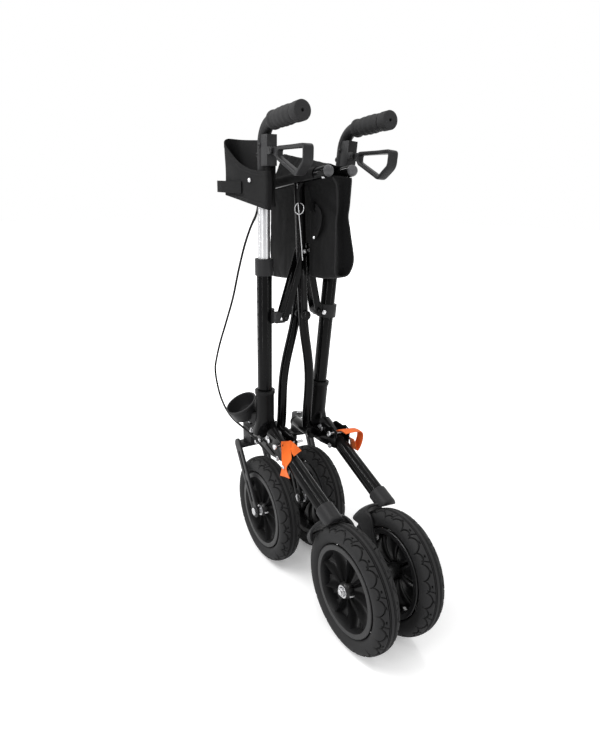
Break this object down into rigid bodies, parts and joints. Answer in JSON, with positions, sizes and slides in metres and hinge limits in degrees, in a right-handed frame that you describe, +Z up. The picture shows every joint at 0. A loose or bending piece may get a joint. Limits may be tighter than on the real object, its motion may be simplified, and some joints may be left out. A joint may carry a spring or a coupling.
{
  "type": "all-terrain rollator",
  "caption": "Folding four-wheel walking frame with big pneumatic tyres, cross-brace fold, loop brakes, seat rails with a hanging bag and a cup holder, shown folded.",
  "frame": {"origin": "on the floor, midway between the two uprights' axes at floor level", "axes": "+X to the user's right, +Y forward, +Z up"},
  "size_m": [0.2806, 0.6815, 1.0158],
  "materials": {
    "gloss_black": "gloss powder coat",
    "moulded_black": "fine-textured moulded nylon",
    "grip_rubber": "matte rubber",
    "tyre_rubber": "matte tyre rubber",
    "rim_plastic": "satin moulded plastic",
    "bare_metal": "satin anodised",
    "zinc": "bright zinc plate",
    "cap_grey": "satin moulded plastic",
    "fabric_black": "woven polyester",
    "webbing_orange": "woven webbing",
    "cable_black": "smooth cable housing"
  },
  "bodies": {
    "left_frame": {"left_upright": "gloss_black", "left_collar": "moulded_black", "left_hub": "moulded_black", "left_leg_channel": "gloss_black", "left_stay_clamp": "moulded_black", "left_caster_head": "moulded_black", "left_frame_bolts": "zinc", "cup_holder": "moulded_black", "brake_cable": "cable_black"},
    "front_brace": {"front_cross_tube": "gloss_black", "right_seat_rail": "gloss_black", "right_rail_cap": "cap_grey", "centre_bolt": "zinc"},
    "rear_brace": {"rear_cross_tube": "gloss_black", "left_seat_rail": "gloss_black", "left_rail_cap": "cap_grey", "seat_bag": "fabric_black", "seat_sling": "fabric_black"},
    "right_frame": {"right_upright": "gloss_black", "right_collar": "moulded_black", "right_hub": "moulded_black", "right_leg_channel": "gloss_black", "right_stay_clamp": "moulded_black", "right_caster_head": "moulded_black", "right_frame_bolts": "zinc"},
    "left_handle": {"left_inner_tube": "bare_metal", "left_handle_tube": "gloss_black", "left_grip": "grip_rubber", "left_brake_bracket": "moulded_black", "side_pouch": "fabric_black"},
    "left_lever": {"left_brake_lever": "moulded_black"},
    "left_leg": {"left_leg_tube": "gloss_black", "left_rear_fork": "moulded_black", "left_rear_axle": "zinc"},
    "left_rear_wheel": {"left_rear_tyre": "tyre_rubber", "left_rear_rim": "rim_plastic"},
    "left_caster": {"left_caster_fork": "moulded_black", "left_caster_axle": "zinc"},
    "left_front_wheel": {"left_front_tyre": "tyre_rubber", "left_front_rim": "rim_plastic"},
    "left_latch": {"left_latch_rod": "zinc", "left_pull_tab": "webbing_orange"},
    "left_stay": {"left_stay": "gloss_black"},
    "right_handle": {"right_inner_tube": "bare_metal", "right_handle_tube": "gloss_black", "right_grip": "grip_rubber", "right_brake_bracket": "moulded_black"},
    "right_lever": {"right_brake_lever": "moulded_black"},
    "right_leg": {"right_leg_tube": "gloss_black", "right_rear_fork": "moulded_black", "right_rear_axle": "zinc"},
    "right_rear_wheel": {"right_rear_tyre": "tyre_rubber", "right_rear_rim": "rim_plastic"},
    "right_caster": {"right_caster_fork": "moulded_black", "right_caster_axle": "zinc"},
    "right_front_wheel": {"right_front_tyre": "tyre_rubber", "right_front_rim": "rim_plastic"},
    "right_latch": {"right_latch_rod": "zinc", "right_pull_tab": "webbing_orange"},
    "right_stay": {"right_stay": "gloss_black"}
  },
  "joints": [
    {"name": "fold", "type": "hinge", "parent": "left_frame", "child": "front_brace", "pos_m": [-0.0137, -0.013, 0.318], "axis": [0, 1, 0], "range_deg": [0, 48.99], "deforming": ["seat_bag", "seat_sling"]},
    {"name": "cross", "type": "hinge", "parent": "front_brace", "child": "rear_brace", "pos_m": [0.026, -0.013, 0.6], "axis": [0, 1, 0], "range_deg": [-102.29, 0.02]},
    {"name": "right_frame_turn", "type": "hinge", "parent": "rear_brace", "child": "right_frame", "pos_m": [0.04102, -0.013, 0.32043], "axis": [0, 1, 0], "range_deg": [-0.02, 48.41]},
    {"name": "left_stay_swing", "type": "hinge", "parent": "left_frame", "child": "left_stay", "pos_m": [-0.0257, -0.028, 0.6], "axis": [0, 1, 0], "range_deg": [-0.02, 92.65]},
    {"name": "right_stay_swing", "type": "hinge", "parent": "right_frame", "child": "right_stay", "pos_m": [0.07706, 0.002, 0.60037], "axis": [0, 1, 0], "range_deg": [-93.91, 0.02]},
    {"name": "left_handle_height", "type": "slide", "parent": "left_frame", "child": "left_handle", "axis": [0, 0, 1], "range_m": [-0.0508, 0.0508], "deforming": ["brake_cable"]},
    {"name": "left_brake_squeeze", "type": "hinge", "parent": "left_handle", "child": "left_lever", "pos_m": [-0.0557, -0.046, 0.936], "axis": [1, 0, 0], "range_deg": [-12, 10], "stiffness_Nm_per_rad": 2},
    {"name": "left_leg_fold", "type": "hinge", "parent": "left_frame", "child": "left_leg", "pos_m": [-0.0557, -0.06, 0.328], "axis": [1, 0, 0], "range_deg": [0, 18]},
    {"name": "left_rear_wheel_spin", "type": "hinge", "parent": "left_leg", "child": "left_rear_wheel", "pos_m": [-0.0477, -0.354, 0.127], "axis": [1, 0, 0], "continuous": true},
    {"name": "left_caster_swivel", "type": "hinge", "parent": "left_frame", "child": "left_caster", "pos_m": [-0.0557, 0.08, 0.254], "axis": [0, 0, 1], "range_deg": [-180, 5]},
    {"name": "left_front_wheel_spin", "type": "hinge", "parent": "left_caster", "child": "left_front_wheel", "pos_m": [-0.0557, -0.014, 0.127], "axis": [1, 0, 0], "continuous": true},
    {"name": "left_latch_pull", "type": "slide", "parent": "left_frame", "child": "left_latch", "axis": [0, -0.3338, 0.9426], "range_m": [0, 0.006], "stiffness_N_per_m": 400, "springref_m": -0.003},
    {"name": "right_handle_height", "type": "slide", "parent": "right_frame", "child": "right_handle", "axis": [0.0854, 0, 0.9963], "range_m": [-0.0508, 0.0508]},
    {"name": "right_brake_squeeze", "type": "hinge", "parent": "right_handle", "child": "right_lever", "pos_m": [0.13565, -0.046, 0.93258], "axis": [0.9963, 0, -0.0854], "range_deg": [-12, 10], "stiffness_Nm_per_rad": 2},
    {"name": "right_leg_fold", "type": "hinge", "parent": "right_frame", "child": "right_leg", "pos_m": [0.08372, -0.06, 0.3268], "axis": [0.9963, 0, -0.0854], "range_deg": [0, 18]},
    {"name": "right_rear_wheel_spin", "type": "hinge", "parent": "right_leg", "child": "right_rear_wheel", "pos_m": [0.05858, -0.354, 0.12722], "axis": [0.9963, 0, -0.0854], "continuous": true},
    {"name": "right_caster_swivel", "type": "hinge", "parent": "right_frame", "child": "right_caster", "pos_m": [0.0774, 0.08, 0.25307], "axis": [0.0854, 0, 0.9963], "range_deg": [-5, 180]},
    {"name": "right_front_wheel_spin", "type": "hinge", "parent": "right_caster", "child": "right_front_wheel", "pos_m": [0.06655, -0.014, 0.12654], "axis": [0.9963, 0, -0.0854], "continuous": true},
    {"name": "right_latch_pull", "type": "slide", "parent": "right_frame", "child": "right_latch", "axis": [0.0805, -0.3338, 0.9392], "range_m": [0, 0.006], "stiffness_N_per_m": 400, "springref_m": -0.003}
  ],
  "couplings": [
    {"joint": "cross", "follows": "fold", "ratio": -2.0877},
    {"joint": "right_frame_turn", "follows": "fold", "ratio": 0.98772},
    {"joint": "left_stay_swing", "follows": "fold", "ratio": 1.891},
    {"joint": "right_stay_swing", "follows": "fold", "ratio": -1.9166}
  ]
}
